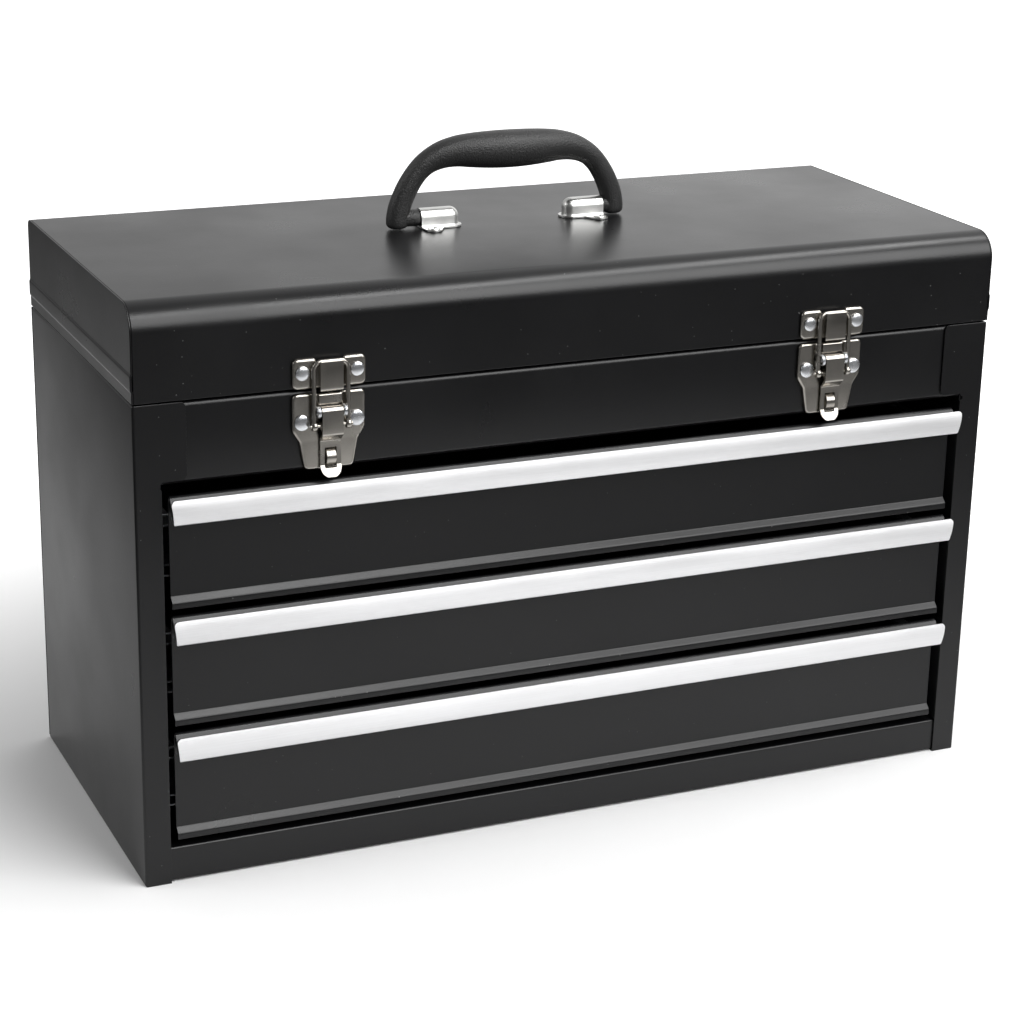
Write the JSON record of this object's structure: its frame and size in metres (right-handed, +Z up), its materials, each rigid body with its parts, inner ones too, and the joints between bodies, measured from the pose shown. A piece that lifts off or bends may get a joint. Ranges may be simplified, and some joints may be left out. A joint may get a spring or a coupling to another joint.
{
  "type": "drawer tool box",
  "caption": "Portable steel tool box with full-width drawers on ball slides, a hinged lid over a top compartment, draw latches and a folding carry handle.",
  "frame": {"origin": "under the middle of the whole outline, on the surface that the box stands on", "axes": "+X to the right of someone facing the drawers, +Y to the back, +Z up"},
  "size_m": [0.5112, 0.2272, 0.3748],
  "materials": {
    "black_paint": "semi-gloss black powder coat with a fine orange-peel texture",
    "brushed_aluminium": "satin aluminium brushed along its length",
    "nickel_plate": "bright nickel plate on pressed steel",
    "zinc_plate": "dull zinc plate",
    "black_plastic": "matte grained black plastic",
    "cage_plastic": "smooth dark plastic"
  },
  "bodies": {
    "cabinet": {"back_panel": "black_paint", "base_rivet_left_inner": "nickel_plate", "base_rivet_left_outer": "nickel_plate", "base_rivet_right_inner": "nickel_plate", "base_rivet_right_outer": "nickel_plate", "compartment_tray": "black_paint", "floor_panel": "black_paint", "front_fascia": "black_paint", "hinge_leaf_body": "zinc_plate", "hinge_pin": "zinc_plate", "latch_base_left": "nickel_plate", "latch_base_right": "nickel_plate", "lever_pin_left": "zinc_plate", "lever_pin_right": "zinc_plate", "outer_slide_bottom_left": "zinc_plate", "outer_slide_bottom_right": "zinc_plate", "outer_slide_middle_left": "zinc_plate", "outer_slide_middle_right": "zinc_plate", "outer_slide_top_left": "zinc_plate", "outer_slide_top_right": "zinc_plate", "side_panel_left": "black_paint", "side_panel_right": "black_paint", "slide_panel_left": "black_paint", "slide_panel_right": "black_paint"},
    "lid": {"handle_bracket_left": "nickel_plate", "handle_bracket_right": "nickel_plate", "hinge_leaf_lid": "zinc_plate", "keeper_rivet_left_inner": "nickel_plate", "keeper_rivet_left_outer": "nickel_plate", "keeper_rivet_right_inner": "nickel_plate", "keeper_rivet_right_outer": "nickel_plate", "latch_keeper_left": "nickel_plate", "latch_keeper_right": "nickel_plate", "lid_cover": "black_paint", "lid_end_left": "black_paint", "lid_end_right": "black_paint"},
    "handle": {"carry_handle": "black_plastic"},
    "lever_left": {"latch_lever_left": "nickel_plate"},
    "bail_left": {"latch_bail_left": "nickel_plate"},
    "lever_right": {"latch_lever_right": "nickel_plate"},
    "bail_right": {"latch_bail_right": "nickel_plate"},
    "drawer_bottom": {"drawer_pull_bottom": "brushed_aluminium", "drawer_tray_bottom": "black_paint", "inner_slide_bottom_left": "zinc_plate", "inner_slide_bottom_right": "zinc_plate"},
    "cages_bottom": {"ball_cage_bottom_left": "cage_plastic", "ball_cage_bottom_right": "cage_plastic"},
    "drawer_middle": {"drawer_pull_middle": "brushed_aluminium", "drawer_tray_middle": "black_paint", "inner_slide_middle_left": "zinc_plate", "inner_slide_middle_right": "zinc_plate"},
    "cages_middle": {"ball_cage_middle_left": "cage_plastic", "ball_cage_middle_right": "cage_plastic"},
    "drawer_top": {"drawer_pull_top": "brushed_aluminium", "drawer_tray_top": "black_paint", "inner_slide_top_left": "zinc_plate", "inner_slide_top_right": "zinc_plate"},
    "cages_top": {"ball_cage_top_left": "cage_plastic", "ball_cage_top_right": "cage_plastic"}
  },
  "joints": [
    {"name": "lid_hinge", "type": "hinge", "parent": "cabinet", "child": "lid", "pos_m": [0, 0.11113, 0.2703], "axis": [-1, 0, 0], "range_deg": [0, 100]},
    {"name": "handle_fold", "type": "hinge", "parent": "lid", "child": "handle", "pos_m": [0, 0.01533, 0.3277], "axis": [1, 0, 0], "range_deg": [-80, 80]},
    {"name": "lever_left_flip", "type": "hinge", "parent": "cabinet", "child": "lever_left", "pos_m": [-0.15, -0.11027, 0.2585], "axis": [-1, 0, 0], "range_deg": [0, 130]},
    {"name": "bail_left_swing", "type": "hinge", "parent": "lever_left", "child": "bail_left", "pos_m": [-0.15, -0.11037, 0.251], "axis": [-1, 0, 0], "range_deg": [-150, 10]},
    {"name": "lever_right_flip", "type": "hinge", "parent": "cabinet", "child": "lever_right", "pos_m": [0.15, -0.11027, 0.2585], "axis": [-1, 0, 0], "range_deg": [0, 130]},
    {"name": "bail_right_swing", "type": "hinge", "parent": "lever_right", "child": "bail_right", "pos_m": [0.15, -0.11037, 0.251], "axis": [-1, 0, 0], "range_deg": [-150, 10]},
    {"name": "drawer_bottom_slide", "type": "slide", "parent": "cabinet", "child": "drawer_bottom", "axis": [0, -1, 0], "range_m": [0, 0.145]},
    {"name": "cages_bottom_roll", "type": "slide", "parent": "cabinet", "child": "cages_bottom", "axis": [0, -1, 0], "range_m": [0, 0.0725]},
    {"name": "drawer_middle_slide", "type": "slide", "parent": "cabinet", "child": "drawer_middle", "axis": [0, -1, 0], "range_m": [0, 0.145]},
    {"name": "cages_middle_roll", "type": "slide", "parent": "cabinet", "child": "cages_middle", "axis": [0, -1, 0], "range_m": [0, 0.0725]},
    {"name": "drawer_top_slide", "type": "slide", "parent": "cabinet", "child": "drawer_top", "axis": [0, -1, 0], "range_m": [0, 0.145]},
    {"name": "cages_top_roll", "type": "slide", "parent": "cabinet", "child": "cages_top", "axis": [0, -1, 0], "range_m": [0, 0.0725]}
  ],
  "couplings": [
    {"joint": "bail_left_swing", "follows": "lever_left_flip", "ratio": -1.1},
    {"joint": "bail_right_swing", "follows": "lever_right_flip", "ratio": -1.1},
    {"joint": "cages_bottom_roll", "follows": "drawer_bottom_slide", "ratio": 0.5},
    {"joint": "cages_middle_roll", "follows": "drawer_middle_slide", "ratio": 0.5},
    {"joint": "cages_top_roll", "follows": "drawer_top_slide", "ratio": 0.5}
  ]
}
